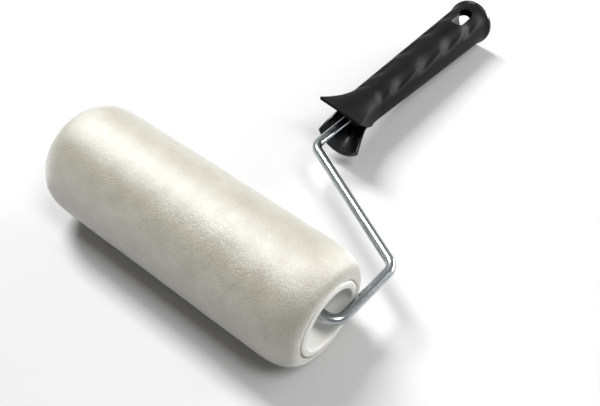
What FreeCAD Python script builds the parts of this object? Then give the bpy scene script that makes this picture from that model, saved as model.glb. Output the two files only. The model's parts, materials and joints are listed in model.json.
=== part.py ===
import FreeCAD, Part
import math
import os

import Sketcher

# A paint roller: a plush sleeve that spins on a bent wire frame with a moulded handle.
# It lies as it would on a floor, on the pile of the sleeve and on the rim of the handle.
# X is the axle of the sleeve, Y runs to the end of the handle, Z is up.

doc = FreeCAD.newDocument("paint_roller")
sheet = doc.addObject("Spreadsheet::Sheet", "dims")

# Driving dimensions in millimetres and degrees, each written once.
DIMENSIONS = (
    ("sleeve_length", 235.0, "pile, end to end"),
    ("sleeve_dia", 87.0, "over the pile"),
    ("pile_flat", 0.7, "between the pile's rounded ends and the lips of the caps"),
    ("pile_overhang", 3.0, "pile beyond each end of the core tube"),
    ("core_bore", 48.0, "inside the core tube"),
    ("core_wall", 2.0, "wall of the core tube"),
    ("foam_set_back", 7.5, "foam layer short of each end of the core tube"),
    ("foam_thick", 5.0, "foam layer under the pile"),
    ("lip_dia", 57.0, "lip of an end cap"),
    ("lip_thick", 4.5, "lip of an end cap"),
    ("lip_width", 5.0, "flat ring of the lip"),
    ("lip_gap", 0.3, "round the lip, inside the pile"),
    ("plug_length", 22.0, "the part of a cap inside the core"),
    ("cap_wall", 2.5, "moulded wall of a cap"),
    ("dish_depth", 16.0, "from the lip to the face of the hub"),
    ("hub_dia", 17.0, "hub of a cap"),
    ("hub_length", 18.0, "hub of a cap"),
    ("guide_wall", 1.5, "tube between the two hubs"),
    ("bush_dia", 12.0, "barrel of a bearing bush"),
    ("bush_flange_dia", 15.0, "flange of a bearing bush"),
    ("bush_flange", 1.5, "flange of a bearing bush"),
    ("running_fit", 0.05, "radial, bush on rod"),
    ("end_play", 0.2, "between bush, washer and stop"),
    ("washer_dia", 14.0, "thrust washers"),
    ("washer_thick", 1.0, "thrust washers"),
    ("collar_dia", 13.0, "stop collar pressed on the rod"),
    ("collar_length", 3.5, "stop collar pressed on the rod"),
    ("clip_dia", 13.0, "push-on clip at the rod's tip"),
    ("clip_thick", 1.2, "push-on clip at the rod's tip"),
    ("tip_past_clip", 2.9, "rod beyond the clip"),
    ("cover_dia", 26.0, "snap-in cover over the rod's tip"),
    ("cover_depth", 9.5, "snap-in cover over the rod's tip"),
    ("cover_wall", 1.8, "snap-in cover over the rod's tip"),
    ("rod_dia", 7.5, "plated wire"),
    ("leg_gap", 1.25, "between the lip and the side leg"),
    ("corner_out", 63.0, "outer corner, out from the axle"),
    ("corner_in", 122.0, "inner corner, out from the axle"),
    ("handle_offset", 8.5, "handle axis from the sleeve's middle"),
    ("axle_bend", 9.0, "centre radius of the bend at the axle"),
    ("leg_bend", 11.0, "centre radius of the two other bends"),
    ("tail_end", 214.0, "rod's end inside the handle"),
    ("anchor_dia", 12.0, "knurled sleeve on the rod's tail"),
    ("anchor_length", 28.0, "knurled sleeve on the rod's tail"),
    ("handle_start", 150.0, "rim of the guard, out from the axle"),
    ("throat", 182.0, "where the guard runs into the grip"),
    ("grip_end", 353.3, "back end of the soft grip"),
    ("rim_thick", 2.4, "hard rim at the end of the handle"),
    ("rim_dia", 42.0, "hard rim at the end of the handle"),
    ("handle_roll", 5.5, "handle turned on the wire's tail, degrees"),
    ("grip_dia_front", 31.0, "grip at the throat"),
    ("grip_dia_back", 38.8, "grip before the rim"),
    ("flare_length", 14.0, "flare of the grip up to the rim"),
    ("core_dia_front", 22.0, "hard core under the grip, in front"),
    ("core_dia_back", 32.4, "hard core under the grip, at the back"),
    ("core_start", 171.0, "front face of the hard core"),
    ("guard_dia", 46.0, "rim of the upper guard"),
    ("scoop_dia", 49.0, "rim of the lower scoop"),
    ("guard_wall", 2.4, "guard and scoop"),
    ("notch_start", 174.0, "side notches between guard and scoop"),
    ("notch_drop", 2.0, "notch below the handle's axis"),
    ("guard_lift", 15.0, "guard's corners above the axis"),
    ("scoop_drop", 14.0, "scoop's corners below the axis"),
    ("socket_dia", 25.2, "socket for an extension pole"),
    ("socket_depth", 75.0, "socket for an extension pole"),
    ("hang_width", 11.6, "hanging hole"),
    ("hang_length", 26.0, "hanging hole"),
    ("hang_inset", 13.5, "hanging hole, in from the handle's end"),
    ("groove_start", 185.0, "first finger groove"),
    ("groove_pitch", 33.0, "finger grooves"),
    ("groove_count", 4, "finger grooves"),
    ("groove_depth", 1.2, "finger grooves"),
    ("groove_length", 30.0, "finger grooves"),
    ("groove_sweep", 120.0, "finger grooves, round the top"),
)


class Size:
    """A size that knows its value and the spreadsheet formula that gives it."""

    def __init__(self, text, value):
        self.text, self.value = text, float(value)

    def joined(self, sign, other, value, swap=False):
        text = other.text if isinstance(other, Size) else repr(other)
        pair = (text, self.text) if swap else (self.text, text)
        return Size("(%s %s %s)" % (pair[0], sign, pair[1]), value)

    def __add__(self, other):
        return self.joined("+", other, self.value + number(other))

    def __sub__(self, other):
        return self.joined("-", other, self.value - number(other))

    def __rsub__(self, other):
        return self.joined("-", other, number(other) - self.value, swap=True)

    def __mul__(self, other):
        return self.joined("*", other, self.value * number(other))

    def __rmul__(self, other):
        return self * other

    def __truediv__(self, other):
        return self.joined("/", other, self.value / number(other))

    def __neg__(self):
        return Size("(-1 * %s)" % self.text, -self.value)


def number(size):
    return size.value if isinstance(size, Size) else float(size)


class Dims:
    """The driving dimensions by name, each one a cell of the sheet."""


d = Dims()
for row, (alias, value, note) in enumerate(DIMENSIONS, start=1):
    sheet.set("A%d" % row, note)
    sheet.set("B%d" % row, str(value))
    sheet.setAlias("B%d" % row, alias)
    setattr(d, alias, Size("dims." + alias, value))
doc.recompute()


def bind(thing, **sizes):
    """Set properties of an object from sizes, through the spreadsheet."""
    for name, size in sizes.items():
        if isinstance(size, Size):
            thing.setExpression(name, size.text)
        else:
            setattr(thing, name, size)
    return thing


# Places that several pieces share, along the axle from the middle of the sleeve.
core_end = d.sleeve_length / 2 - d.pile_overhang
lip_face = core_end + d.lip_thick
hub_face = lip_face - d.dish_depth
hub_back = hub_face - d.hub_length
flange_face = hub_face + d.bush_flange
washer_in = flange_face + d.end_play
washer_out = washer_in + d.washer_thick
stop_face = washer_out + d.end_play
rod_tip = stop_face + d.clip_thick + d.tip_past_clip
rod_radius = d.rod_dia / 2
leg = lip_face + d.leg_gap + rod_radius
handle_end = d.grip_end + d.rim_thick
sleeve_radius = d.sleeve_dia / 2

# The part lies on the pile and on the rim of the handle, which sets its slope.
reach = math.hypot(number(handle_end), number(d.rim_dia) / 2)
REST_SLOPE = math.degrees(
    math.asin(number(sleeve_radius) / reach) - math.atan2(number(d.rim_dia) / 2, number(handle_end)))


# The origin is on the floor, under the middle of the box round the whole part.
rim_far = (number(handle_end) * math.cos(math.radians(REST_SLOPE))
           + number(d.rim_dia) / 2 * math.sin(math.radians(REST_SLOPE)))
AXLE = FreeCAD.Vector(-(number(leg + rod_radius) - number(lip_face)) / 2,
                      -(rim_far - number(sleeve_radius)) / 2, number(sleeve_radius))


def roller_place(turned_round=False):
    """Along the axle; the far end's pieces are turned round."""
    spin = FreeCAD.Rotation(FreeCAD.Vector(0, 0, 1), 180 if turned_round else 0)
    return FreeCAD.Placement(AXLE, spin)


def frame_place():
    """The wire's own plane, which slopes down from the axle to the handle's end."""
    slope = FreeCAD.Rotation(FreeCAD.Vector(1, 0, 0), -REST_SLOPE)
    return FreeCAD.Placement(AXLE, slope)


def handle_place():
    """The handle's pieces are turned about X, which this lays along the wire's tail."""
    aside = FreeCAD.Placement(FreeCAD.Vector(number(d.handle_offset), 0, 0),
                              FreeCAD.Rotation(FreeCAD.Vector(0, 0, 1), 90))
    roll = FreeCAD.Rotation(FreeCAD.Vector(1, 0, 0), number(d.handle_roll))
    return frame_place() * aside * FreeCAD.Placement(FreeCAD.Vector(), roll)


def new_body(label):
    body = doc.addObject("PartDesign::Body", label)
    body.Label = label
    return body


def new_sketch(body, name, plane="XY_Plane"):
    sketch = body.newObject("Sketcher::SketchObject", name)
    support = next(f for f in body.Origin.OriginFeatures if f.Role == plane)
    sketch.AttachmentSupport = [(support, "")]
    sketch.MapMode = "FlatFace"
    return sketch


def fix_point(sketch, curve, end, x, y):
    """Hold one end of a curve at a place that the sheet gives."""
    for kind, size, axis in (("DistanceX", x, -2), ("DistanceY", y, -1)):
        if number(size) == 0:
            sketch.addConstraint(Sketcher.Constraint("PointOnObject", curve, end, axis))
            continue
        first, second = ((-1, 1), (curve, end))
        if number(size) < 0:
            first, second, size = second, first, -size if isinstance(size, Size) else -number(size)
        index = sketch.addConstraint(
            Sketcher.Constraint(kind, first[0], first[1], second[0], second[1], number(size)))
        if isinstance(size, Size):
            sketch.setExpression("Constraints[%d]" % index, size.text)


def closed_outline(sketch, points):
    """Straight lines through the points and back to the first."""
    places = [FreeCAD.Vector(number(x), number(y), 0) for x, y in points]
    for place, following in zip(places, places[1:] + places[:1]):
        sketch.addGeometry(Part.LineSegment(place, following), False)
    for index, (x, y) in enumerate(points):
        before = (index - 1) % len(points)
        sketch.addConstraint(Sketcher.Constraint("Coincident", before, 2, index, 1))
        fix_point(sketch, index, 1, x, y)


def turned(label, points):
    """A body turned about X from an outline of (along, radius) points."""
    body = new_body(label)
    outline = new_sketch(body, label + "_outline")
    closed_outline(outline, points)
    turn = body.newObject("PartDesign::Revolution", label + "_turn")
    turn.Profile = outline
    turn.ReferenceAxis = (outline, ["H_Axis"])
    turn.Angle = 360
    doc.recompute()
    return body


def ring_edges(shape, places):
    """Names of the circular edges about X at the given (along, radius) places."""
    names = []
    for index, edge in enumerate(shape.Edges, start=1):
        if not isinstance(edge.Curve, Part.Circle):
            continue
        for along, radius in places:
            near = abs(edge.Curve.Center.x - number(along)) < 0.01
            if near and abs(edge.Curve.Radius - number(radius)) < 0.01:
                names.append("Edge%d" % index)
    return names


def round_rings(body, name, radius, places):
    """Fillet the circular edges at the given places."""
    base = body.Tip
    fillet = body.newObject("PartDesign::Fillet", name)
    fillet.Base = (base, ring_edges(base.Shape, places))
    bind(fillet, Radius=radius)
    doc.recompute()


def tube(label, start, end, inner, outer):
    return turned(label, [(start, inner), (end, inner), (end, outer), (start, outer)])


# ---- the sleeve ----

core_radius = d.core_bore / 2 + d.core_wall
foam_end = core_end - d.foam_set_back


def make_pile_cover():
    """Plush cover: it hugs the foam, closes in over its ends and stops at the caps' lips."""
    over_foam = core_radius + d.foam_thick
    round_lip = d.lip_dia / 2 + d.lip_gap
    half = d.sleeve_length / 2
    right = [(foam_end, over_foam), (foam_end, core_radius), (core_end, core_radius),
             (core_end, round_lip), (half, round_lip), (half, sleeve_radius)]
    left = [(-along, radius) for along, radius in reversed(right)]
    body = turned("pile_cover", left + right)
    round_rings(body, "pile_ends", sleeve_radius - round_lip - d.pile_flat,
                [(half, sleeve_radius), (-half, sleeve_radius)])
    return body


def make_end_cap(label):
    """Moulded cap: a plug in the core, a lip on its end, and a dish down to the hub."""
    bore, hub, plug = d.bush_dia / 2, d.hub_dia / 2, d.core_bore / 2
    lip, lip_inside = d.lip_dia / 2, d.lip_dia / 2 - d.lip_width
    web_back, plug_back = hub_face - d.cap_wall, core_end - d.plug_length
    dish_floor, dish_side = hub + 5, lip_inside - 3.6
    body = turned(label, [
        (hub_back, bore), (hub_back, hub), (web_back, hub), (web_back, dish_floor),
        (hub_face + 0.5, plug - d.cap_wall), (plug_back, plug - d.cap_wall), (plug_back, plug),
        (core_end, plug), (core_end, lip), (lip_face, lip), (lip_face, lip_inside),
        (hub_face + 4, dish_side), (hub_face, dish_floor), (hub_face, bore)])
    round_rings(body, label + "_lip", 1.8, [(lip_face, lip), (lip_face, lip_inside)])
    return body


def make_bush(label):
    """Flanged bearing bush in the hub; the flange runs against a thrust washer."""
    bore, barrel = rod_radius + d.running_fit, d.bush_dia / 2
    flange = d.bush_flange_dia / 2
    return turned(label, [(hub_back, bore), (flange_face, bore), (flange_face, flange),
                          (hub_face, flange), (hub_face, barrel), (hub_back, barrel)])


def make_tip_cover():
    """Snap-in cover that stands on the dish's floor and hides the rod's tip."""
    outer, inner = d.cover_dia / 2, d.cover_dia / 2 - d.cover_wall
    face = hub_face + d.cover_depth
    body = turned("tip_cover", [(hub_face, inner), (face - d.cover_wall, inner),
                                (face - d.cover_wall, 0), (face, 0), (face, outer), (hub_face, outer)])
    round_rings(body, "tip_cover_edge", d.cover_wall * 0.6, [(face, outer)])
    return body


sleeve_pieces = (
    make_pile_cover(),
    tube("foam_underlay", -foam_end, foam_end, core_radius, core_radius + d.foam_thick),
    tube("core_tube", -core_end, core_end, d.core_bore / 2, core_radius),
    tube("guide_tube", -(hub_face - d.cap_wall), hub_face - d.cap_wall,
         d.hub_dia / 2, d.hub_dia / 2 + d.guide_wall),
    make_end_cap("near_end_cap"),
    make_bush("near_bearing_bush"),
)
far_sleeve_pieces = (
    make_end_cap("far_end_cap"),
    make_bush("far_bearing_bush"),
    make_tip_cover(),
)


# ---- the wire frame and what holds the sleeve on it ----

def bent_path(sketch, corners):
    """Straight runs joined by tangent arcs; each corner is (x, y, bend radius)."""
    places = [FreeCAD.Vector(number(x), number(y), 0) for x, y, bend in corners]
    curves = []
    start = places[0]
    for before, here, after, corner in zip(places, places[1:], places[2:], corners[1:]):
        bend = number(corner[2])
        into, out = (here - before).normalize(), (after - here).normalize()
        turn = into.getAngle(out)
        setback = bend * math.tan(turn / 2)
        arc_start, arc_end = here - into * setback, here + out * setback
        middle = here + (out - into).normalize() * (bend / math.cos(turn / 2) - bend)
        curves.append((Part.LineSegment(start, arc_start), None))
        curves.append((Part.Arc(arc_start, middle, arc_end), corner[2]))
        start = arc_end
    curves.append((Part.LineSegment(start, places[-1]), None))
    for curve, bend in curves:
        index = sketch.addGeometry(curve, False)
        sketch.addConstraint(Sketcher.Constraint("Block", index))
    return [curve for curve, bend in curves]


def make_wire_frame():
    """One length of plated wire: axle, side leg, sloping leg and the tail in the handle."""
    body = new_body("wire_frame")
    path = new_sketch(body, "wire_path")
    bent_path(path, [(-rod_tip, 0, 0), (leg, 0, d.axle_bend), (leg, d.corner_out, d.leg_bend),
                     (d.handle_offset, d.corner_in, d.leg_bend), (d.handle_offset, d.tail_end, 0)])
    section = new_sketch(body, "wire_section", "YZ_Plane")
    bind(section, **{"AttachmentOffset.Base.z": -rod_tip})
    circle = section.addGeometry(Part.Circle(FreeCAD.Vector(), FreeCAD.Vector(0, 0, 1), number(rod_radius)))
    section.addConstraint(Sketcher.Constraint("Coincident", circle, 3, -1, 1))
    index = section.addConstraint(Sketcher.Constraint("Radius", circle, number(rod_radius)))
    section.setExpression("Constraints[%d]" % index, rod_radius.text)
    doc.recompute()
    pipe = body.newObject("PartDesign::AdditivePipe", "wire_pipe")
    pipe.Profile = section
    pipe.Spine = (path, [])
    doc.recompute()
    return body


frame_pieces = (
    make_wire_frame(),
    tube("near_thrust_washer", washer_in, washer_out, rod_radius + d.running_fit, d.washer_dia / 2),
    tube("stop_collar", stop_face, stop_face + d.collar_length, rod_radius, d.collar_dia / 2),
    tube("far_thrust_washer", -washer_out, -washer_in, rod_radius + d.running_fit, d.washer_dia / 2),
    tube("retaining_clip", -(stop_face + d.clip_thick), -stop_face, rod_radius, d.clip_dia / 2),
)


# ---- the handle, turned about X and then laid along the wire's tail ----

EDGE_OVERRUN = 0.05  # a cut starts this far outside the surface
core_run = d.grip_end - d.core_start
anchor_start = d.tail_end - d.anchor_length
socket_end = handle_end - d.socket_depth


def flare_points(rim_dia, inset):
    """The bell's curve from its rim back to the throat, as (along, radius) points."""
    rim, root = rim_dia / 2 - inset, d.grip_dia_front / 2 - inset
    run, rise = d.throat - d.handle_start, rim - root
    return [(d.handle_start, rim)] + [
        (d.handle_start + run * step, root + rise * ((1 - step) ** 2.2)) for step in (0.2, 0.4, 0.6, 0.8)]


def cut_through(body, name, outline):
    """Cut a closed outline right through the body, both ways from its plane."""
    doc.recompute()
    before = body.Shape.Volume
    pocket = body.newObject("PartDesign::Pocket", name)
    pocket.Profile = outline
    pocket.Type = 1
    pocket.Midplane = True
    doc.recompute()
    if not body.Shape.Volume < before - 1:
        raise RuntimeError(name + " cut nothing")


def cut_side_edges(body, name, points):
    """Cut both sides of a bell at once, to an outline seen from the side."""
    outline = new_sketch(body, name + "_outline", "XZ_Plane")
    closed_outline(outline, points)
    cut_through(body, name, outline)


def cut_hang_hole(body):
    """The hanging hole: a slot with round ends, straight down through both walls."""
    end = handle_end - d.hang_inset
    half = d.hang_width / 2
    outline = new_sketch(body, body.Label + "_slot")
    near, far = end - d.hang_length + half, end - half
    ends = [FreeCAD.Vector(number(near), 0, 0), FreeCAD.Vector(number(far), 0, 0)]
    up = FreeCAD.Vector(0, number(half), 0)
    along = FreeCAD.Vector(number(half), 0, 0)
    outline.addGeometry(Part.LineSegment(ends[0] + up, ends[1] + up), False)
    outline.addGeometry(Part.Arc(ends[1] + up, ends[1] + along, ends[1] - up), False)
    outline.addGeometry(Part.LineSegment(ends[1] - up, ends[0] - up), False)
    outline.addGeometry(Part.Arc(ends[0] - up, ends[0] - along, ends[0] + up), False)
    fix_point(outline, 0, 1, near, half)
    fix_point(outline, 0, 2, far, half)
    fix_point(outline, 2, 1, far, -half)
    fix_point(outline, 2, 2, near, -half)
    for arc, place in ((1, far), (3, near)):
        fix_point(outline, arc, 3, place, 0)
    cut_through(body, body.Label + "_hang_hole", outline)


def make_handle_core():
    """Hard core: it grips the wire's tail, carries the scoop and ends in the rim and the socket.

    The scoop is the lower half of a bell, joined to the core by a half collar at the throat.
    """
    front, back = d.core_dia_front / 2, d.core_dia_back / 2
    socket, anchor = d.socket_dia / 2, d.anchor_dia / 2
    hollow = front - d.guard_wall
    root = d.grip_dia_front / 2
    body = new_body("handle_core")
    bell = new_sketch(body, "scoop_outline")
    outside = flare_points(d.scoop_dia, 0)
    inside = [(along, radius - d.guard_wall) for along, radius in outside]
    closed_outline(bell, outside + [(d.throat, root), (d.throat, front - 1), (d.notch_start, front - 1)]
                   + inside[-2::-1])
    turn = body.newObject("PartDesign::Revolution", "scoop_turn")
    turn.Profile = bell
    turn.ReferenceAxis = (bell, ["H_Axis"])
    turn.Angle = 360
    doc.recompute()
    above = d.scoop_dia
    cut_side_edges(body, "scoop_side_edges", [
        (d.handle_start - 1, -d.scoop_drop), (d.notch_start, -d.notch_drop), (d.throat + 1, -d.notch_drop),
        (d.throat + 1, above), (d.handle_start - 1, above)])
    outline = new_sketch(body, "core_outline")
    rim_face = d.grip_end
    closed_outline(outline, [
        (d.core_start, rod_radius), (anchor_start, rod_radius), (anchor_start, anchor), (d.tail_end, anchor),
        (d.tail_end, hollow), (socket_end, hollow), (socket_end, socket), (handle_end, socket),
        (handle_end, d.rim_dia / 2), (rim_face, d.rim_dia / 2), (rim_face, back), (d.core_start, front)])
    core = body.newObject("PartDesign::Revolution", "core_turn")
    core.Profile = outline
    core.ReferenceAxis = (outline, ["H_Axis"])
    core.Angle = 360
    doc.recompute()
    round_rings(body, "rim_edges", d.rim_thick * 0.4, [(handle_end, d.rim_dia / 2), (rim_face, d.rim_dia / 2)])
    cut_hang_hole(body)
    return body


def make_grip_cover():
    """Soft grip moulded over the core, flared into the upper guard and out to the rim."""
    root, back = d.grip_dia_front / 2, d.grip_dia_back / 2
    flare_start = d.grip_end - d.flare_length
    core_front, core_back = d.core_dia_front / 2, d.core_dia_back / 2
    core_slope = (core_back - core_front) / core_run
    at_throat = core_front + core_slope * (d.throat - d.core_start)
    guard = flare_points(d.guard_dia, 0)
    inside = [(along, radius - d.guard_wall) for along, radius in guard]
    body = turned("grip_cover", guard + [
        (d.throat, root), (flare_start, back), (d.grip_end - d.flare_length / 3, back + 0.7),
        (d.grip_end, d.rim_dia / 2 - 0.4), (d.grip_end, core_back), (d.throat, at_throat)] + inside[::-1])
    below = -d.scoop_dia
    cut_side_edges(body, "guard_side_edges", [
        (d.handle_start - 1, d.guard_lift), (d.notch_start, -d.notch_drop), (d.throat, -d.notch_drop),
        (d.throat, below), (d.handle_start - 1, below)])
    add_finger_grooves(body)
    cut_hang_hole(body)
    return body


def grip_radius(along):
    """The grip's radius between the throat and the flare, where it is a plain cone."""
    run = d.grip_end - d.flare_length - d.throat
    return d.grip_dia_front / 2 + (d.grip_dia_back - d.grip_dia_front) / 2 * (along - d.throat) / run


def add_finger_grooves(body):
    """Shallow grooves side by side across the top of the grip, each as deep as the next."""
    for index in range(int(number(d.groove_count))):
        start = d.groove_start + d.groove_pitch * index
        outline = new_sketch(body, "groove_outline_%d" % index, "XZ_Plane")
        floor = [(start + d.groove_length * share, grip_radius(start + d.groove_length * share) - d.groove_depth * depth)
                 for share, depth in ((0.25, 0.75), (0.5, 1.0), (0.75, 0.75))]
        end = start + d.groove_length
        closed_outline(outline, [(start, grip_radius(start) + EDGE_OVERRUN)] + floor + [
            (end, grip_radius(end) + EDGE_OVERRUN), (end, d.rim_dia), (start, d.rim_dia)])
        groove = body.newObject("PartDesign::Groove", "finger_groove_%d" % index)
        groove.Profile = outline
        groove.ReferenceAxis = (outline, ["H_Axis"])
        bind(groove, Angle=d.groove_sweep)
        groove.Midplane = True
        doc.recompute()


handle_pieces = (
    tube("anchor_sleeve", anchor_start, d.tail_end, rod_radius, d.anchor_dia / 2),
    make_handle_core(),
    make_grip_cover(),
)


# ---- places, checks and files ----

for piece in sleeve_pieces:
    piece.Placement = roller_place()
for piece in far_sleeve_pieces:
    piece.Placement = roller_place(turned_round=True)
for piece in frame_pieces:
    piece.Placement = frame_place()
for piece in handle_pieces:
    piece.Placement = handle_place()
doc.recompute()

failed = [thing.Name for thing in doc.Objects if "Invalid" in thing.State or "Error" in thing.State]
if failed:
    raise RuntimeError("failed objects: " + ", ".join(failed))
os.makedirs("parts", exist_ok=True)
for piece in sleeve_pieces + far_sleeve_pieces + frame_pieces + handle_pieces:
    shape = piece.Shape
    if shape.isNull() or not shape.isValid() or len(shape.Solids) != 1:
        raise RuntimeError(piece.Label + " is not one valid solid")
    shape.exportStep("parts/%s.step" % piece.Label)
    box = shape.BoundBox
    print("%-20s %9.0f mm3  x %.1f..%.1f  y %.1f..%.1f  z %.1f..%.1f" % (
        piece.Label, shape.Volume, box.XMin, box.XMax, box.YMin, box.YMax, box.ZMin, box.ZMax))
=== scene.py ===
import json
import math

import bmesh
import bpy
from mathutils import Matrix, Vector, noise


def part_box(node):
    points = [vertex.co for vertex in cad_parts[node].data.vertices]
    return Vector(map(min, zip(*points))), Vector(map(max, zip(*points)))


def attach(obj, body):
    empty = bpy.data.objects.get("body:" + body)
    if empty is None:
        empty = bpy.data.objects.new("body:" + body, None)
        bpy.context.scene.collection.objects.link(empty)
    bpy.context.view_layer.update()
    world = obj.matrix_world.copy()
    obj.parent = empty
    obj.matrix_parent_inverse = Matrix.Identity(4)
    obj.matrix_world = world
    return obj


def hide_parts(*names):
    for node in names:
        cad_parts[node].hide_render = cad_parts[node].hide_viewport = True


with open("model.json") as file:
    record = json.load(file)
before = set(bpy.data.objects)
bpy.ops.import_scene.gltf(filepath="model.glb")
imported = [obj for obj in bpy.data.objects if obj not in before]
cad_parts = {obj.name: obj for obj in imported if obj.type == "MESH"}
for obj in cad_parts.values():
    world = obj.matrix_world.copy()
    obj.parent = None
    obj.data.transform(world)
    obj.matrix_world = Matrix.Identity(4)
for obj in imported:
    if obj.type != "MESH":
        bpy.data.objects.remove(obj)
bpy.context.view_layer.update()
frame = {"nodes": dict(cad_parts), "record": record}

# The camera. It stands beyond the near end of the sleeve and looks down along the tool, so that
# the handle runs away to the upper right. It leans a little to one side.
CAMERA_PLACE = Vector((0.2783, -0.3878, 0.4808))
AIM_POINT = Vector((0.0130, -0.0633, 0.0))  # on the floor, between the sleeve and the sloping wire
CAMERA_LEAN = math.radians(0.355)
camera_data = bpy.data.cameras.new("camera")
camera_data.lens = 48.71
camera_data.sensor_width = 36.0
camera = bpy.data.objects.new("camera", camera_data)
bpy.context.collection.objects.link(camera)
camera.location = CAMERA_PLACE
level_view = (AIM_POINT - CAMERA_PLACE).to_track_quat("-Z", "Y")
camera.rotation_mode = "QUATERNION"
camera.rotation_quaternion = level_view @ Matrix.Rotation(CAMERA_LEAN, 4, "Z").to_quaternion()
bpy.context.scene.camera = camera


# The pile cover: a tube of white knitted plush, pulled over the foam and the core. Its pile is
# about 12 mm deep, and at both ends it is sheared round and tucked in behind the caps' lips.
MM = 0.001
SHARP_EDGE = math.radians(38)  # edges that turn more than this are shaded sharp
pile_low, pile_high = (Vector(corner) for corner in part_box("pile_cover"))
axle = (pile_low + pile_high) / 2
sleeve_half = (pile_high.x - pile_low.x) / 2
sleeve_radius = (pile_high.z - pile_low.z) / 2
lip_low, lip_high = (Vector(corner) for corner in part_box("near_end_cap"))
lip_radius = (lip_high.z - lip_low.z) / 2
lip_face = lip_high.x - axle.x
core_low, core_high = (Vector(corner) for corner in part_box("core_tube"))
core_half = (core_high.x - core_low.x) / 2
core_radius = (core_high.z - core_low.z) / 2


def new_piece(name, mesh):
    """An object for a finished mesh, shaded smooth except where it turns sharply."""
    mesh.validate()
    mesh.shade_smooth()
    mesh.set_sharp_from_angle(angle=SHARP_EDGE)
    piece = bpy.data.objects.new(name, mesh)
    bpy.context.collection.objects.link(piece)
    return piece


def mesh_from(name, points, faces):
    """A mesh of points and of faces between them."""
    mesh = bpy.data.meshes.new(name)
    mesh.from_pydata([tuple(p) for p in points], [], faces)
    mesh.update()
    return mesh


def along_axle(along, radius, turn, flip=1):
    """A place round the axle; turn 0 is up, and flip -1 is for the far end's pieces."""
    return axle + Vector((flip * along, -radius * math.sin(turn), radius * math.cos(turn)))


def face_outward(mesh):
    """Turn the faces of a closed mesh to its outside."""
    shaped = bmesh.new()
    shaped.from_mesh(mesh)
    bmesh.ops.recalc_face_normals(shaped, faces=shaped.faces)
    shaped.to_mesh(mesh)
    shaped.free()


def turned_mesh(name, outline, steps, place):
    """A mesh turned from a closed outline of (along, radius) points, each put in space by place."""
    points, faces = [], []
    for along, radius in outline:
        points += [place(along, radius, 2 * math.pi * k / steps) for k in range(steps)]
    for i in range(len(outline)):
        j = (i + 1) % len(outline)
        for k in range(steps):
            l = (k + 1) % steps
            faces.append((i * steps + k, i * steps + l, j * steps + l, j * steps + k))
    mesh = mesh_from(name, points, faces)
    face_outward(mesh)
    return mesh


END_SOFTNESS = 24 * MM  # how far in from its end the pile starts to round off
END_FULLNESS = 0.85  # 1 rounds the ends as an ellipse, and less leaves them fuller
END_STEPS = 30
BODY_STEPS = 160
MOUTH_GAP = 0.2 * MM  # between the tucked-in pile and the cap's lip
LAYER_GAP = 0.3 * MM  # between the pile's backing and the layer under it
FOAM_END_GAP = 0.5 * MM
TUCK_DEPTH = 0.6 * MM  # how far in the pile's mouth starts
PILE_LUMPS = ((2.6 * MM, 0.10 * MM), (9 * MM, 0.12 * MM), (26 * MM, 0.20 * MM))  # size, height
PILE_STAND = 0.6 * MM  # how far out the pile stands, midway between its lumps and its dips

foam_low, foam_high = (Vector(corner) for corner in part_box("foam_underlay"))
foam_half = (foam_high.x - foam_low.x) / 2
foam_radius = (foam_high.z - foam_low.z) / 2
foam_bore = core_radius + LAYER_GAP
pile_mouth = lip_radius + MOUTH_GAP
end_drop = sleeve_radius - pile_mouth - LAYER_GAP
straight = sleeve_half - END_SOFTNESS

rounded_end = []
for step in range(END_STEPS):
    angle = math.radians(90 * step / END_STEPS)
    rounded_end.append((sleeve_half - END_SOFTNESS * (1 - math.cos(angle) ** END_FULLNESS),
                        sleeve_radius - end_drop * (1 - math.sin(angle) ** END_FULLNESS)))
body = [(straight - 2 * straight * step / BODY_STEPS, sleeve_radius) for step in range(BODY_STEPS + 1)]
inside = [
    (-sleeve_half + TUCK_DEPTH, pile_mouth), (-core_half - MOUTH_GAP, pile_mouth),
    (-core_half, foam_bore), (-foam_half - FOAM_END_GAP, foam_bore),
    (-foam_half - FOAM_END_GAP, foam_radius + LAYER_GAP)]


def other_end(outline):
    """The same stretch of an outline at the other end, in the order that carries on round."""
    return [(-along, radius) for along, radius in reversed(outline)]


pile_outline = rounded_end + body + other_end(rounded_end) + inside + other_end(inside)


def pile_place(along, radius, turn):
    """The pile's surface, lumpy where the tufts lean together; the tucked-in inside stays smooth."""
    place = along_axle(along, radius, turn)
    if radius < pile_mouth + MOUTH_GAP:
        return place
    stand = PILE_STAND + sum(noise.noise(place / size) * height for size, height in PILE_LUMPS)
    outward = Vector((0, -math.sin(turn), math.cos(turn)))
    if abs(along) > straight:
        outward = (outward * (radius / sleeve_radius) + Vector((along / sleeve_half, 0, 0))).normalized()
    place += outward * stand
    place.z = max(place.z, 0.0)
    return place


pile = new_piece("plush_pile", turned_mesh("plush_pile", pile_outline, 256, pile_place))
for edge in pile.data.edges:
    edge.use_edge_sharp = False


def new_material(name):
    """A material with its nodes, its links and its shader, ready for the finish to be added."""
    material = bpy.data.materials.new(name)
    material.use_nodes = True
    nodes, links = material.node_tree.nodes, material.node_tree.links
    shader = nodes["Principled BSDF"]
    return material, nodes, links, shader


def place_node(nodes):
    """Coordinates that stay with the piece, in metres."""
    return nodes.new("ShaderNodeTexCoord").outputs["Object"]


def new_group(name, inputs, outputs):
    """A shader group with named sockets: (name, kind, default) each."""
    group = bpy.data.node_groups.new(name, "ShaderNodeTree")
    for label, kind, default in inputs:
        socket = group.interface.new_socket(label, in_out="INPUT", socket_type=kind)
        if default is not None:
            socket.default_value = default
    for label, kind in outputs:
        group.interface.new_socket(label, in_out="OUTPUT", socket_type=kind)
    return group, group.nodes.new("NodeGroupInput"), group.nodes.new("NodeGroupOutput")


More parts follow.
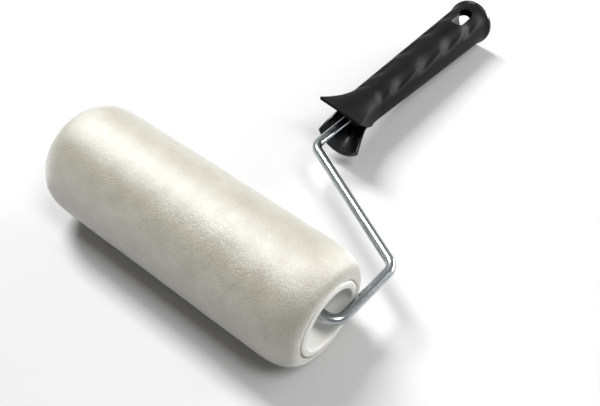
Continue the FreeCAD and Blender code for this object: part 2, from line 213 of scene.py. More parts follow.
def use_group(nodes, links, group, coordinates, **values):
    """One use of a group in a material, with this material's own values."""
    node = nodes.new("ShaderNodeGroup")
    node.node_tree = group
    links.new(coordinates, node.inputs["Place"])
    for label, value in values.items():
        node.inputs[label.replace("_", " ")].default_value = value
    return node


def add_bump(nodes, links, shader, height, strength, distance):
    """Raise a material's surface by a height that changes over it."""
    bump = nodes.new("ShaderNodeBump")
    bump.inputs["Strength"].default_value = strength
    bump.inputs["Distance"].default_value = distance
    links.new(height, bump.inputs["Height"])
    links.new(bump.outputs["Normal"], shader.inputs["Normal"])


# Mottling: soft clouds and fine specks, which shift a colour between a dark and a light tone and
# the surface between smooth and rough.
mottling, group_in, group_out = new_group(
    "mottling",
    [("Place", "NodeSocketVector", None), ("Dark", "NodeSocketColor", (0.5, 0.5, 0.5, 1)),
     ("Light", "NodeSocketColor", (0.8, 0.8, 0.8, 1)), ("Cloud Scale", "NodeSocketFloat", 40.0),
     ("Speck Scale", "NodeSocketFloat", 700.0), ("Speck Share", "NodeSocketFloat", 0.3),
     ("Smooth", "NodeSocketFloat", 0.3), ("Rough", "NodeSocketFloat", 0.5)],
    [("Colour", "NodeSocketColor"), ("Roughness", "NodeSocketFloat")])
cloud = mottling.nodes.new("ShaderNodeTexNoise")
cloud.inputs["Detail"].default_value = 3.0
speck = mottling.nodes.new("ShaderNodeTexNoise")
speck.inputs["Detail"].default_value = 2.0
blend_masks = mottling.nodes.new("ShaderNodeMix")
blend_masks.data_type = "FLOAT"
spread = mottling.nodes.new("ShaderNodeMapRange")
spread.inputs["From Min"].default_value = 0.33
spread.inputs["From Max"].default_value = 0.67
tint = mottling.nodes.new("ShaderNodeMix")
tint.data_type = "RGBA"
uneven = mottling.nodes.new("ShaderNodeMix")
uneven.data_type = "FLOAT"
join = mottling.links.new
join(group_in.outputs["Place"], cloud.inputs["Vector"])
join(group_in.outputs["Cloud Scale"], cloud.inputs["Scale"])
join(group_in.outputs["Place"], speck.inputs["Vector"])
join(group_in.outputs["Speck Scale"], speck.inputs["Scale"])
join(group_in.outputs["Speck Share"], blend_masks.inputs["Factor"])
join(cloud.outputs["Fac"], blend_masks.inputs["A"])
join(speck.outputs["Fac"], blend_masks.inputs["B"])
join(blend_masks.outputs["Result"], spread.inputs["Value"])
join(spread.outputs["Result"], tint.inputs["Factor"])
join(group_in.outputs["Dark"], tint.inputs["A"])
join(group_in.outputs["Light"], tint.inputs["B"])
join(tint.outputs["Result"], group_out.inputs["Colour"])
join(spread.outputs["Result"], uneven.inputs["Factor"])
join(group_in.outputs["Smooth"], uneven.inputs["A"])
join(group_in.outputs["Rough"], uneven.inputs["B"])
join(uneven.outputs["Result"], group_out.inputs["Roughness"])

# Grain: one layer of noise that raises a surface, as coarse and as crisp as the material needs.
grain, group_in, group_out = new_group(
    "grain",
    [("Place", "NodeSocketVector", None), ("Scale", "NodeSocketFloat", 1000.0),
     ("Detail", "NodeSocketFloat", 2.0), ("Crispness", "NodeSocketFloat", 0.5)],
    [("Height", "NodeSocketFloat")])
grit = grain.nodes.new("ShaderNodeTexNoise")
join = grain.links.new
join(group_in.outputs["Place"], grit.inputs["Vector"])
join(group_in.outputs["Scale"], grit.inputs["Scale"])
join(group_in.outputs["Detail"], grit.inputs["Detail"])
join(group_in.outputs["Crispness"], grit.inputs["Roughness"])
join(grit.outputs["Fac"], group_out.inputs["Height"])

plush, nodes, links, shader = new_material("white_plush")
place = place_node(nodes)
nap = use_group(nodes, links, mottling, place,
                Dark=(0.222, 0.209, 0.160, 1), Light=(0.322, 0.307, 0.252, 1),
                Cloud_Scale=80.0, Speck_Scale=800.0, Speck_Share=0.5)
links.new(nap.outputs["Colour"], shader.inputs["Base Color"])
shader.inputs["Roughness"].default_value = 0.29
shader.inputs["IOR"].default_value = 2.05
shader.inputs["Sheen Weight"].default_value = 0.8
shader.inputs["Sheen Roughness"].default_value = 0.38
fibres = use_group(nodes, links, grain, place, Scale=880.0, Detail=5.0, Crispness=0.75)
add_bump(nodes, links, shader, fibres.outputs["Height"], 1.0, 0.46 * MM)
pile.data.materials.append(plush)
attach(pile, "sleeve")
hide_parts("pile_cover")


# The foam underlay: a sleeve of open-cell foam under the plush, which gives the roller its bulk.
# It is cut from a block, so its ends are square and its skin shows the open cells.
FOAM_EDGE = 0.6 * MM  # the cut edges are eased by this much
FOAM_STEPS = 60
DENT_SIZE = 9 * MM
DENT_DEPTH = 0.15 * MM
skin_half = foam_half - FOAM_EDGE
foam_end = [(foam_half, foam_bore), (foam_half, foam_radius - FOAM_EDGE)]
foam_outline = foam_end + [
    (skin_half - 2 * skin_half * step / FOAM_STEPS, foam_radius) for step in range(FOAM_STEPS + 1)]
foam_outline += other_end(foam_end)


def foam_place(along, radius, turn):
    """The foam's surface, dented a little by the pile that is stretched over it."""
    place = along_axle(along, radius, turn)
    if radius < foam_radius - FOAM_EDGE / 2:
        return place
    give = (noise.noise(place / DENT_SIZE) - 1) * DENT_DEPTH
    return place + Vector((0, -math.sin(turn), math.cos(turn))) * give


foam = new_piece("foam_layer", turned_mesh("foam_layer", foam_outline, 96, foam_place))
open_cell, nodes, links, shader = new_material("open_cell_foam")
place = place_node(nodes)
cells = nodes.new("ShaderNodeTexVoronoi")
cells.inputs["Scale"].default_value = 900.0
links.new(place, cells.inputs["Vector"])
# Painted shade in the pits: the colour darkens towards each cell's middle, where the bump sinks lowest.
ramp = nodes.new("ShaderNodeValToRGB")
ramp.color_ramp.elements[0].color = (0.62, 0.57, 0.44, 1)
ramp.color_ramp.elements[0].position = 0.1
ramp.color_ramp.elements[1].color = (0.86, 0.82, 0.68, 1)
ramp.color_ramp.elements[1].position = 0.6
links.new(cells.outputs["Distance"], ramp.inputs["Fac"])
links.new(ramp.outputs["Color"], shader.inputs["Base Color"])
shader.inputs["Roughness"].default_value = 0.95
add_bump(nodes, links, shader, cells.outputs["Distance"], 1.0, 0.4 * MM)
foam.data.materials.append(open_cell)
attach(foam, "sleeve")
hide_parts("foam_underlay")


# The end caps: off-white mouldings, alike at both ends. Each plugs the core, covers the end of
# the pile's backing with a round lip, and dips in a smooth bowl to the hub that holds its bush.
ROUNDING_STEPS = 6
BOWL_STEPS = 14
LIP_WIDTH = 5 * MM
BOWL_RIM = 5.6 * MM  # how far in from the lip's outside the bowl starts
BOWL_FLOOR = 13 * MM  # the radius at which the bowl runs into the face of the hub
BOWL_DROP = 1.6 * MM  # how far below the lip's face the bowl starts
HUB_SET_BACK = 1.5 * MM  # the hub's face lies this far behind the bush's
HUB_BORE = 6.02 * MM
CORE_WALL = 2 * MM
PLUG_FIT = 0.05 * MM
WALL = 2.5 * MM


def rounded(outline):
    """An outline of (along, radius, rounding) corners with each corner eased by its rounding."""
    eased = []
    for index, (along, radius, rounding) in enumerate(outline):
        here = Vector((along, radius))
        if not rounding:
            eased.append(tuple(here))
            continue
        before = Vector(outline[index - 1][:2]) - here
        after = Vector(outline[(index + 1) % len(outline)][:2]) - here
        reach = min(rounding, before.length * 0.48, after.length * 0.48)
        start, end = here + before.normalized() * reach, here + after.normalized() * reach
        for step in range(ROUNDING_STEPS + 1):
            share = step / ROUNDING_STEPS
            curve = start * (1 - share) ** 2 + here * 2 * share * (1 - share) + end * share ** 2
            eased.append(tuple(curve))
    return eased


bush_low, bush_high = (Vector(corner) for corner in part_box("near_bearing_bush"))
hub_back = max(bush_low.x, lip_low.x) - axle.x
hub_face = bush_high.x - axle.x - HUB_SET_BACK
plug_radius = core_radius - CORE_WALL - PLUG_FIT
bowl = []
for step in range(BOWL_STEPS + 1):
    angle = math.radians(90 * step / BOWL_STEPS)
    bowl.append((hub_face + (lip_face - BOWL_DROP - hub_face) * (1 - math.sin(angle)),
                 BOWL_FLOOR + (lip_radius - BOWL_RIM - BOWL_FLOOR) * math.cos(angle), 0))
cap_outline = rounded(
    [(lip_face, lip_radius, 3.2 * MM), (lip_face, lip_radius - LIP_WIDTH, 2.2 * MM)] + bowl
    + [(hub_face, HUB_BORE, 0), (hub_back, HUB_BORE, 0), (hub_back, HUB_BORE + WALL, 0),
       (hub_face - WALL, HUB_BORE + WALL, 0), (hub_face - WALL, 13.5 * MM, 2 * MM),
       (hub_face + 0.5 * MM, plug_radius - WALL, 0), (hub_back, plug_radius - WALL, 0),
       (hub_back, plug_radius, 0), (core_half, plug_radius, 0), (core_half, lip_radius, 0.8 * MM)])

moulded, nodes, links, shader = new_material("off_white_moulding")
place = place_node(nodes)
cloudy = use_group(nodes, links, mottling, place,
                   Dark=(0.50, 0.50, 0.475, 1), Light=(0.57, 0.57, 0.545, 1),
                   Cloud_Scale=90.0, Speck_Scale=2500.0, Speck_Share=0.25, Smooth=0.44, Rough=0.56)
links.new(cloudy.outputs["Colour"], shader.inputs["Base Color"])
links.new(cloudy.outputs["Roughness"], shader.inputs["Roughness"])
shader.inputs["Specular IOR Level"].default_value = 0.3
shader.inputs["Subsurface Weight"].default_value = 0.4
shader.inputs["Subsurface Radius"].default_value = (0.004, 0.004, 0.003)
shader.inputs["Subsurface Scale"].default_value = 0.5
spark = use_group(nodes, links, grain, place, Scale=2200.0)
add_bump(nodes, links, shader, spark.outputs["Height"], 0.12, 0.1 * MM)

for end_name, flip in (("near", 1), ("far", -1)):
    cap = new_piece(end_name + "_cap_moulding", turned_mesh(
        end_name + "_cap_moulding", cap_outline, 128,
        lambda along, radius, turn: along_axle(along, radius, turn, flip)))
    cap.data.materials.append(moulded)
    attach(cap, "sleeve")
    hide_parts(end_name + "_end_cap")


def refinish(material, *names):
    """Give CAD nodes that keep their shape a better material."""
    for name in names:
        node = frame["nodes"][name]
        node.data.materials.clear()
        node.data.materials.append(material)


refinish(moulded, "tip_cover")


# The bushes and the thrust washers: turned from white acetal, which runs dry on the wire. The
# bushes are pressed into the caps' hubs, and the washers lie loose between them and the stops.
acetal, nodes, links, shader = new_material("white_acetal")
place = place_node(nodes)
waxy = use_group(nodes, links, mottling, place,
                 Dark=(0.74, 0.74, 0.70, 1), Light=(0.82, 0.82, 0.79, 1),
                 Cloud_Scale=200.0, Speck_Scale=3000.0, Speck_Share=0.2)
links.new(waxy.outputs["Colour"], shader.inputs["Base Color"])
shader.inputs["Roughness"].default_value = 0.3
refinish(acetal, "near_bearing_bush", "far_bearing_bush", "near_thrust_washer", "far_thrust_washer")


# The core and guide tubes: extruded polypropylene in its natural milky colour, drawn out along
# its length. The core carries the foam and the pile, and the guide tube leads the wire through.
milky, nodes, links, shader = new_material("natural_polypropylene")
place = place_node(nodes)
stretch = nodes.new("ShaderNodeMapping")
stretch.inputs["Scale"].default_value = (0.1, 1, 1)
links.new(place, stretch.inputs["Vector"])
drawn = use_group(nodes, links, mottling, stretch.outputs["Vector"],
                  Dark=(0.66, 0.67, 0.65, 1), Light=(0.76, 0.77, 0.75, 1),
                  Cloud_Scale=300.0, Speck_Scale=1500.0, Speck_Share=0.4)
links.new(drawn.outputs["Colour"], shader.inputs["Base Color"])
shader.inputs["Roughness"].default_value = 0.4
refinish(milky, "core_tube", "guide_tube")


# The wire frame: one length of steel wire, bent three times. Its bright zinc plating is a little
# cloudy and finely pitted. The handle is moulded round its tail.
plating, group_in, group_out = new_group(
    "plating",
    [("Place", "NodeSocketVector", None), ("Bright", "NodeSocketColor", (0.8, 0.8, 0.8, 1)),
     ("Dull", "NodeSocketColor", (0.6, 0.6, 0.6, 1)), ("Smooth", "NodeSocketFloat", 0.18),
     ("Rough", "NodeSocketFloat", 0.32)],
    [("Colour", "NodeSocketColor"), ("Roughness", "NodeSocketFloat"), ("Height", "NodeSocketFloat")])
patches = plating.nodes.new("ShaderNodeTexNoise")
patches.inputs["Scale"].default_value = 130.0
patches.inputs["Detail"].default_value = 5.0
pits = plating.nodes.new("ShaderNodeTexNoise")
pits.inputs["Scale"].default_value = 1600.0
pits.inputs["Detail"].default_value = 2.0
contrast = plating.nodes.new("ShaderNodeMapRange")
contrast.inputs["From Min"].default_value = 0.35
contrast.inputs["From Max"].default_value = 0.65
tone = plating.nodes.new("ShaderNodeMix")
tone.data_type = "RGBA"
wear = plating.nodes.new("ShaderNodeMix")
wear.data_type = "FLOAT"
join = plating.links.new
join(group_in.outputs["Place"], patches.inputs["Vector"])
join(group_in.outputs["Place"], pits.inputs["Vector"])
join(patches.outputs["Fac"], contrast.inputs["Value"])
join(contrast.outputs["Result"], tone.inputs["Factor"])
join(group_in.outputs["Bright"], tone.inputs["A"])
join(group_in.outputs["Dull"], tone.inputs["B"])
join(contrast.outputs["Result"], wear.inputs["Factor"])
join(group_in.outputs["Smooth"], wear.inputs["A"])
join(group_in.outputs["Rough"], wear.inputs["B"])
join(tone.outputs["Result"], group_out.inputs["Colour"])
join(wear.outputs["Result"], group_out.inputs["Roughness"])
join(pits.outputs["Fac"], group_out.inputs["Height"])


def plated(name, bright, dull, smooth, rough, pitting):
    """A metal with the plating's finish."""
    material, nodes, links, shader = new_material(name)
    finish = use_group(nodes, links, plating, place_node(nodes),
                       Bright=bright, Dull=dull, Smooth=smooth, Rough=rough)
    shader.inputs["Metallic"].default_value = 1.0
    links.new(finish.outputs["Colour"], shader.inputs["Base Color"])
    links.new(finish.outputs["Roughness"], shader.inputs["Roughness"])
    add_bump(nodes, links, shader, finish.outputs["Height"], pitting, 0.05 * MM)
    return material


# The wire runs through the sleeve, turns out beside the near cap, slopes back to the middle and
# ends inside the handle. Each bend is an arc round its corner.
socket = next(m for m in frame["record"]["mounts"] if m["name"] == "pole_socket")
handle_mouth = Vector(socket["pos_m"])
handle_along = Vector(socket["axis"]).normalized()
frame_up = Vector((1, 0, 0)).cross(handle_along)
handle_offset = handle_mouth.x - axle.x
handle_reach = math.hypot(handle_mouth.y - axle.y, handle_mouth.z - axle.z)
wire_low, wire_high = (Vector(corner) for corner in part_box("wire_frame"))
WIRE_RADIUS = 3.75 * MM
WIRE_SIDES = 48
WIRE_SPACING = 4 * MM
TIP_ROUNDING = 1 * MM
FIRST_BEND = 9 * MM
LATER_BENDS = 11 * MM
BEND_STEPS = 16
LEG_OUT = 63 * MM  # this and the next two are measured out from the sleeve's axle
NECK_OUT = 122 * MM
TAIL_OUT = 214 * MM
leg_aside = wire_high.x - WIRE_RADIUS - axle.x
wire_route = [
    ((wire_low.x - axle.x, 0.0), 0), ((leg_aside, 0.0), FIRST_BEND), ((leg_aside, LEG_OUT), LATER_BENDS),
    ((handle_offset, NECK_OUT), LATER_BENDS), ((handle_offset, TAIL_OUT), 0)]


def bent_path(route, spacing):
    """Points and directions along straight runs joined by arcs, in the plane of the frame."""
    path = []
    for index, (corner, bend) in enumerate(route):
        here = Vector(corner)
        if not bend:
            toward = Vector(route[1][0]) - here if index == 0 else here - Vector(route[index - 1][0])
            path.append((here, toward.normalized()))
            continue
        arriving = (here - Vector(route[index - 1][0])).normalized()
        leaving = (Vector(route[index + 1][0]) - here).normalized()
        turn = arriving.angle(leaving)
        side = 1 if arriving.x * leaving.y - arriving.y * leaving.x > 0 else -1
        start = here - arriving * bend * math.tan(turn / 2)
        centre = start + Vector((-arriving.y, arriving.x)) * side * bend
        for step in range(BEND_STEPS + 1):
            swing = Matrix.Rotation(side * turn * step / BEND_STEPS, 2)
            path.append((centre + swing @ (start - centre), swing @ arriving))
    filled = [path[0]]
    for (here, heading), (there, after) in zip(path, path[1:]):
        count = max(1, round((there - here).length / spacing))
        filled += [(here.lerp(there, k / count), heading) for k in range(1, count)]
        filled.append((there, after))
    return filled


wire_points, wire_faces = [], []
wire_path = bent_path(wire_route, WIRE_SPACING)
tip, tip_heading = wire_path[0]
rings = [(tip, tip_heading, WIRE_RADIUS - TIP_ROUNDING)]
rings += [(tip + tip_heading * TIP_ROUNDING, tip_heading, WIRE_RADIUS)]
rings += [(here, heading, WIRE_RADIUS) for here, heading in wire_path[1:]]
for here, heading, radius in rings:
    across = Vector((-heading.y, heading.x))
    for k in range(WIRE_SIDES):
        angle = 2 * math.pi * k / WIRE_SIDES
        flat = here + across * radius * math.cos(angle)
        wire_points.append(axle + Vector((flat.x, 0, 0)) + handle_along * flat.y
                           + frame_up * radius * math.sin(angle))
for ring in range(len(rings) - 1):
    for k in range(WIRE_SIDES):
        a, b = ring * WIRE_SIDES + k, ring * WIRE_SIDES + (k + 1) % WIRE_SIDES
        wire_faces.append((a, b, b + WIRE_SIDES, a + WIRE_SIDES))
last_ring = (len(rings) - 1) * WIRE_SIDES
wire_faces += [tuple(range(WIRE_SIDES))[::-1], tuple(range(last_ring, last_ring + WIRE_SIDES))]
wire_mesh = mesh_from("bent_wire", wire_points, wire_faces)
face_outward(wire_mesh)
wire = new_piece("bent_wire", wire_mesh)
bright_zinc = plated("bright_zinc", (0.47, 0.50, 0.50, 1), (0.34, 0.37, 0.375, 1), 0.20, 0.29, 0.2)
wire.data.materials.append(bright_zinc)
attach(wire, "frame")
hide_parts("wire_frame")


# What is pressed on the wire: a turned steel collar that stops the sleeve at the bend, a blued
# spring clip that holds it on at the tip, and a knurled brass sleeve that anchors the tail.
turned_steel = plated("turned_steel", (0.72, 0.74, 0.75, 1), (0.60, 0.62, 0.63, 1), 0.25, 0.4, 0.3)
blued_steel = plated("blued_spring_steel", (0.16, 0.17, 0.22, 1), (0.10, 0.10, 0.12, 1), 0.25, 0.4, 0.3)
brass = plated("turned_brass", (0.78, 0.62, 0.32, 1), (0.66, 0.50, 0.25, 1), 0.25, 0.42, 0.3)
refinish(turned_steel, "stop_collar")
refinish(blued_steel, "retaining_clip")
refinish(brass, "anchor_sleeve")


# The handle's hard core: glossy black plastic, moulded round the wire's tail. It spreads into the
# open scoop in front, and ends in a rim round the socket for a pole.
HANDLE_ROLL = math.radians(5.5)  # the handle is turned a little on the wire's tail
handle_aside = Vector((1, 0, 0)) * math.cos(HANDLE_ROLL) - frame_up * math.sin(HANDLE_ROLL)
handle_up = handle_aside.cross(handle_along)
socket_radius = socket["dims"]["r_mm"] * MM


def on_handle(aside, out, up):
    """A place on the handle: aside and up from its axis, out from the axle of the sleeve."""
    return handle_mouth + handle_aside * aside + handle_along * (out - handle_reach) + handle_up * up


def round_handle(out, radius, turn):
    """A place round the handle's axis; turn 0 is aside, and a quarter turn is up."""
    return on_handle(radius * math.cos(turn), out, radius * math.sin(turn))


# Where things are along the handle, measured out from the sleeve's axle.
GUARD_RIM = 150 * MM
CORE_FACE = 171 * MM
NOTCH = 174 * MM
CORE_NECK = 182 * MM
SCOOP_ROOT = 184 * MM
SOCKET_FLOOR = 280.7 * MM
SLOT_FIRST, SLOT_LAST = 322 * MM, 336.4 * MM  # the middles of the hanging hole's round ends
RIM_FACE = 352.2 * MM

SLOT_HALF_WIDTH = 5.8 * MM
SLOT_TURN_STEPS = 15
CUTTER_REACH = 40 * MM
RIM_RADIUS = 21 * MM
TAIL_BORE = 3.8 * MM
HOLLOW_BORE = 8.6 * MM


def bake_modifiers(piece, sharp_edge):
    """Turn a piece's modifiers into plain mesh, and shade it again."""
    bpy.context.view_layer.update()
    shaped = bpy.data.meshes.new_from_object(piece.evaluated_get(bpy.context.evaluated_depsgraph_get()))
    piece.modifiers.clear()
    piece.data = shaped
    shaped.shade_smooth()
    shaped.set_sharp_from_angle(angle=sharp_edge)


def cut_slot(piece):
    """Cut the hanging hole, a slot with round ends, through both walls of a handle piece."""
    ring = []
    for middle, first_turn in ((SLOT_LAST, 0), (SLOT_FIRST, math.pi)):
        for step in range(SLOT_TURN_STEPS + 1):
            angle = first_turn + math.pi * step / SLOT_TURN_STEPS
            ring.append((SLOT_HALF_WIDTH * math.cos(angle), middle + SLOT_HALF_WIDTH * math.sin(angle)))
    count = len(ring)
    points = [on_handle(aside, out, up) for up in (-CUTTER_REACH, CUTTER_REACH) for aside, out in ring]
    faces = [tuple(range(count))[::-1], tuple(range(count, 2 * count))]
    faces += [(k, (k + 1) % count, count + (k + 1) % count, count + k) for k in range(count)]
    cutter = new_piece("slot_cutter", mesh_from("slot_cutter", points, faces))
    cut = piece.modifiers.new("slot", "BOOLEAN")
    cut.operation = "DIFFERENCE"
    cut.solver = "EXACT"
    cut.object = cutter
    bake_modifiers(piece, SHARP_EDGE)
    bpy.data.objects.remove(cutter)


core_outline = rounded([
    (CORE_FACE, TAIL_BORE, 0.4 * MM), (TAIL_OUT, TAIL_BORE, 0), (TAIL_OUT, HOLLOW_BORE, 0),
    (SOCKET_FLOOR, HOLLOW_BORE, 0), (SOCKET_FLOOR, socket_radius, 0.6 * MM),
    (handle_reach, socket_radius, 0.7 * MM), (handle_reach, RIM_RADIUS, 1.1 * MM),
    (RIM_FACE, RIM_RADIUS, 0.9 * MM), (RIM_FACE, 16.2 * MM, 0), (CORE_NECK, 11.2 * MM, 0),
    (CORE_FACE, 11.0 * MM, 0.8 * MM)])
core = new_piece("hard_core", turned_mesh("hard_core", core_outline, 96, round_handle))
cut_slot(core)

# The scoop is the lower half of a bell. Its side edges run up to the notches beside the throat.
SCOOP_RINGS, SCOOP_STEPS = 28, 48
SCOOP_WALL = 2.4 * MM
SCOOP_ROOT_RADIUS = 14.6 * MM
SCOOP_FLARE = 9.8 * MM  # how much wider it is at its rim
SCOOP_LEAN = 3.4 * MM  # how far aside its rim sits
FLARE_POINT = NOTCH + 2 * MM  # it is a plain tube behind this
scoop_points, scoop_faces = [], []
for ring in range(SCOOP_RINGS + 1):
    out = SCOOP_ROOT - (SCOOP_ROOT - GUARD_RIM) * ring / SCOOP_RINGS
    spread_share = max(0.0, (FLARE_POINT - out) / (FLARE_POINT - GUARD_RIM))
    radius = SCOOP_ROOT_RADIUS + SCOOP_FLARE * spread_share ** 1.7
    lean = SCOOP_LEAN * spread_share ** 1.3
    edge = math.radians(8 + 25 * spread_share ** 1.3)
    for step in range(SCOOP_STEPS + 1):
        turn = -edge - (math.pi - 2 * edge) * step / SCOOP_STEPS
        scoop_points.append(on_handle(lean + radius * math.cos(turn), out, radius * math.sin(turn)))
for ring in range(SCOOP_RINGS):
    for step in range(SCOOP_STEPS):
        a = ring * (SCOOP_STEPS + 1) + step
        b = a + SCOOP_STEPS + 1
        scoop_faces.append((a, b, b + 1, a + 1))
scoop = new_piece("scoop", mesh_from("scoop", scoop_points, scoop_faces))


THIN_EDGE = math.radians(60)  # the sharpest edge of a thin wall that is still shaded smooth


def thicken(piece, thickness, edge_rounding):
    """Give a sheet mesh its wall on the inner side, and round its edges where that is asked for."""
    wall = piece.modifiers.new("wall", "SOLIDIFY")
    wall.thickness = thickness
    wall.offset = -1.0
    wall.use_even_offset = True
    if edge_rounding:
        soft = piece.modifiers.new("soft_edges", "BEVEL")
        soft.width = edge_rounding
        soft.segments = 3
        soft.limit_method = "ANGLE"
        soft.angle_limit = math.radians(50)
    bake_modifiers(piece, THIN_EDGE)


thicken(scoop, SCOOP_WALL, 0.7 * MM)

gloss, nodes, links, shader = new_material("glossy_black_moulding")
place = place_node(nodes)
deep = use_group(nodes, links, mottling, place,
                 Dark=(0.0022, 0.0025, 0.0026, 1), Light=(0.0040, 0.0044, 0.0044, 1),
                 Cloud_Scale=60.0, Speck_Scale=1800.0, Speck_Share=0.2, Smooth=0.20, Rough=0.27)
links.new(deep.outputs["Colour"], shader.inputs["Base Color"])
links.new(deep.outputs["Roughness"], shader.inputs["Roughness"])
for piece in (core, scoop):
    piece.data.materials.clear()
    piece.data.materials.append(gloss)
    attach(piece, "frame")
    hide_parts("handle_core")


# The grip cover: soft charcoal rubber moulded over the core. It flares up into the guard in front
# and out to the rim behind, and a row of finger hollows is pressed into the top of it.
GRIP_TURNS = 128
RING_SPACING = 1.5 * MM
GRIP_WALL = 2 * MM
CONE_START = 185 * MM
CONE_LENGTH = 154 * MM
CONE_RADIUS = 15.4 * MM
CONE_GROWTH = 3.9 * MM
END_FLARE_START = 344 * MM
END_FLARE = 1.4 * MM
HOLLOW_TIPS = (185 * MM, 207 * MM, 244 * MM, 281 * MM, 315 * MM, 346 * MM)  # each starts the next
HOLLOW_EDGE = 0.45 * MM
HOLLOW_DEPTH = 1.5 * MM  # below the edge, at the deepest place
DEEPEST = 0.42  # how far along a hollow its deepest place is
HAIR = 0.001 * MM  # a ring of points this close to a tip counts as past it
ring_count = int((RIM_FACE - GUARD_RIM) / RING_SPACING)
grip_outs = [GUARD_RIM + RING_SPACING * ring for ring in range(ring_count + 1)] + [RIM_FACE]


def smooth_step(value):
    """Rise from 0 to 1 as the value does, level at both ends."""
    value = min(1.0, max(0.0, value))
    return value * value * (3 - 2 * value)


def plain_radius(out):
    """The grip without its hollows: a slow cone that flares at the end."""
    cone = CONE_RADIUS + CONE_GROWTH * (out - CONE_START) / CONE_LENGTH
    flare = max(0.0, (out - END_FLARE_START) / (RIM_FACE - END_FLARE_START))
    return cone + END_FLARE * flare ** 2


def hollow_depth(out, turn):
    """How deep the finger hollows go at a place on the grip; turn 0 is the side, a quarter turn the top.

    Each hollow has a shallow edge all round, which draws in towards the top at its tip. Inside it
    sinks smoothly to its deepest place, before its middle, and rises in a longer ramp to the tip.
    """
    side = math.degrees(math.asin(math.sin(turn)))
    if out <= HOLLOW_TIPS[0] or out >= HOLLOW_TIPS[-1] or side < 20:
        return 0.0
    index = max(k for k, tip in enumerate(HOLLOW_TIPS) if tip <= out + HAIR)
    start, end = HOLLOW_TIPS[index], HOLLOW_TIPS[index + 1]
    along = (out - start) / (end - start)
    boundary = 26 + 21 * min(1.0, along * 1.08)  # degrees up the side, rising towards the tip
    hollow_share = smooth_step((side - boundary) / 13)
    fade_in = smooth_step((out - HOLLOW_TIPS[0]) / (14 * MM))
    fade_out = smooth_step((HOLLOW_TIPS[-1] - out) / (22 * MM))
    ramp = smooth_step(along / DEEPEST) * (1 - smooth_step((along - DEEPEST) / (1 - DEEPEST)))
    flank = 1 - 0.55 * smooth_step((side - 55) / 30)
    return (HOLLOW_EDGE + HOLLOW_DEPTH * ramp * flank) * hollow_share * fade_in * fade_out


GUARD_CORNERS = (math.radians(42), math.radians(137.5))  # the rim's two corners, round the handle
GUARD_HEIGHT = 19 * MM  # from the handle's axis to the straight rim
GUARD_SLANT = 0.034  # how much the rim falls for each step aside
FLARE_START = 190 * MM
NOTCH_SIDE = math.radians(98)  # how far down from the top the notches reach


def guard_turn(out, turn):
    """In front of the notches the guard's sides climb from the notches to the rim's corners."""
    if out >= NOTCH:
        return turn
    climb = ((NOTCH - out) / (NOTCH - GUARD_RIM)) ** 0.85
    right = (math.pi / 2 - NOTCH_SIDE) * (1 - climb) + GUARD_CORNERS[0] * climb
    left = (math.pi / 2 + NOTCH_SIDE) * (1 - climb) + GUARD_CORNERS[1] * climb
    return right + (left - right) * (turn - math.pi / 2 + NOTCH_SIDE) / (2 * NOTCH_SIDE)


def guard_radius(out, turn):
    """The flare of the guard: the tube opens out to a shield with a straight rim."""
    radius = plain_radius(out)
    if out >= FLARE_START:
        return radius
    at_rim = min(max(turn, GUARD_CORNERS[0]), GUARD_CORNERS[1])
    rim = GUARD_HEIGHT / (math.sin(at_rim) + GUARD_SLANT * math.cos(at_rim))
    from_top = abs(turn - math.pi / 2)
    above = smooth_step((math.radians(125) - from_top) / math.radians(40))
    amount = ((FLARE_START - out) / (FLARE_START - GUARD_RIM)) ** 1.55 * above
    return radius * (1 - amount) + rim * amount


grip_points, grip_index = [], {}
for ring, out in enumerate(grip_outs):
    for step in range(GRIP_TURNS):
        turn = -math.pi / 2 + 2 * math.pi * step / GRIP_TURNS
        if out < NOTCH and abs(turn - math.pi / 2) > NOTCH_SIDE:
            continue
        grip_index[ring, step] = len(grip_points)
        side = guard_turn(out, turn)
        grip_points.append(round_handle(out, guard_radius(out, side) - hollow_depth(out, side), side))
grip_faces = []
for ring in range(len(grip_outs) - 1):
    for step in range(GRIP_TURNS):
        after = (step + 1) % GRIP_TURNS
        corners = [(ring, step), (ring + 1, step), (ring + 1, after), (ring, after)]
        if all(corner in grip_index for corner in corners):
            grip_faces.append(tuple(grip_index[corner] for corner in corners))
grip = new_piece("grip", mesh_from("grip", grip_points, grip_faces))
thicken(grip, GRIP_WALL, 0)
cut_slot(grip)

rubber, nodes, links, shader = new_material("charcoal_rubber")
place = place_node(nodes)
dusty = use_group(nodes, links, mottling, place,
                  Dark=(0.0040, 0.0040, 0.0041, 1), Light=(0.0062, 0.0062, 0.0064, 1),
                  Cloud_Scale=45.0, Speck_Scale=2600.0, Speck_Share=0.3, Smooth=0.43, Rough=0.53)
links.new(dusty.outputs["Colour"], shader.inputs["Base Color"])
links.new(dusty.outputs["Roughness"], shader.inputs["Roughness"])
shader.inputs["Specular IOR Level"].default_value = 0.07
skin = use_group(nodes, links, grain, place, Scale=3200.0)
add_bump(nodes, links, shader, skin.outputs["Height"], 0.25, 0.08 * MM)
grip.data.materials.clear()
grip.data.materials.append(rubber)
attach(grip, "frame")
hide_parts("grip_cover")


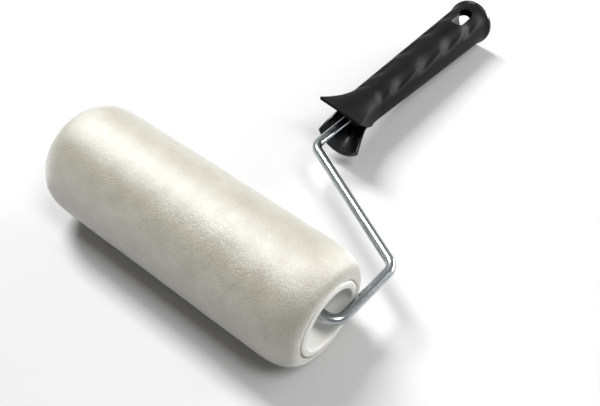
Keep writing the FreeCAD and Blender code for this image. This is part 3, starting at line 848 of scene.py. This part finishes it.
# The studio: a plain floor of pale paper and three soft boxes in an almost even grey surround.
# The strongest hangs over the sleeve's far end, a weaker one over its near end, and a low one
# stands behind the handle.
FLOOR_REACH = 6
floor_corners = [(-FLOOR_REACH, -FLOOR_REACH, 0), (FLOOR_REACH, -FLOOR_REACH, 0),
                 (FLOOR_REACH, FLOOR_REACH, 0), (-FLOOR_REACH, FLOOR_REACH, 0)]
floor = new_piece("floor", mesh_from("floor", floor_corners, [(0, 1, 2, 3)]))
paper, nodes, links, shader = new_material("pale_paper")
place = place_node(nodes)
tooth = use_group(nodes, links, mottling, place,
                  Dark=(0.445, 0.445, 0.445, 1), Light=(0.465, 0.465, 0.465, 1),
                  Cloud_Scale=4.0, Speck_Scale=400.0, Speck_Share=0.3)
links.new(tooth.outputs["Colour"], shader.inputs["Base Color"])
shader.inputs["Roughness"].default_value = 0.9
shader.inputs["Specular IOR Level"].default_value = 0.1
# Far from the tool, where the lamps no longer reach, the paper is given painted light: its emission
# glows a little, more with distance from the middle, up to the horizon.
from_middle = nodes.new("ShaderNodeVectorMath")
from_middle.operation = "LENGTH"
links.new(place, from_middle.inputs[0])
painted_glow = nodes.new("ShaderNodeMapRange")
painted_glow.interpolation_type = "SMOOTHSTEP"
painted_glow.inputs["From Min"].default_value = 1.3
painted_glow.inputs["From Max"].default_value = 5.0
painted_glow.inputs["To Max"].default_value = 0.85
links.new(from_middle.outputs["Value"], painted_glow.inputs["Value"])
links.new(painted_glow.outputs["Result"], shader.inputs["Emission Color"])
shader.inputs["Emission Strength"].default_value = 1.0
floor.data.materials.append(paper)


LIT_PLACE = Vector((0, -0.05, 0.04))  # the place on the tool that the soft boxes look at


def soft_box(name, direction, distance, long_side, short_side, power):
    """An area light that looks at the tool, with its long side level and across its own direction."""
    light = bpy.data.lights.new(name, "AREA")
    light.shape = "RECTANGLE"
    light.size, light.size_y = long_side, short_side
    light.energy = power
    lamp = bpy.data.objects.new(name, light)
    bpy.context.collection.objects.link(lamp)
    away = Vector(direction).normalized()
    sideways = Vector((1, 0, 0))
    long_axis = (sideways - away * sideways.dot(away)).normalized()
    facing = Matrix((long_axis, away.cross(long_axis), away)).transposed().to_4x4()
    lamp.matrix_world = Matrix.Translation(LIT_PLACE + away * distance) @ facing


soft_box("key_box", (-0.54, 0.18, 0.82), distance=3.4, long_side=1.6, short_side=0.8, power=184)
soft_box("side_box", (0.47, -0.06, 0.88), distance=3.0, long_side=1.3, short_side=0.7, power=50)
soft_box("back_box", (0.45, 0.87, 0.22), distance=3.0, long_side=2.0, short_side=0.5, power=100)

# The surround is a shade darker high behind the handle, and pale where it is seen directly.
world = bpy.data.worlds.new("studio")
bpy.context.scene.world = world
world.use_nodes = True
nodes, links = world.node_tree.nodes, world.node_tree.links
surround = nodes["Background"]
seen_way = nodes.new("ShaderNodeTexCoord")
behind = nodes.new("ShaderNodeVectorMath")
behind.operation = "DOT_PRODUCT"
behind.inputs[1].default_value = (0.45, 0.60, 0.66)
links.new(seen_way.outputs["Generated"], behind.inputs[0])
grey = nodes.new("ShaderNodeValToRGB")
grey.color_ramp.elements[0].position = 0.0
grey.color_ramp.elements[0].color = (0.33, 0.333, 0.337, 1)
grey.color_ramp.elements[1].position = 0.9
grey.color_ramp.elements[1].color = (0.30, 0.303, 0.307, 1)
links.new(behind.outputs["Value"], grey.inputs["Fac"])
seen = nodes.new("ShaderNodeMix")
seen.data_type = "RGBA"
seen.inputs["B"].default_value = (0.94, 0.94, 0.94, 1)
ray = nodes.new("ShaderNodeLightPath")
links.new(ray.outputs["Is Camera Ray"], seen.inputs["Factor"])
links.new(grey.outputs["Color"], seen.inputs["A"])
links.new(seen.outputs["Result"], surround.inputs["Color"])

bpy.context.scene.view_settings.view_transform = "Standard"
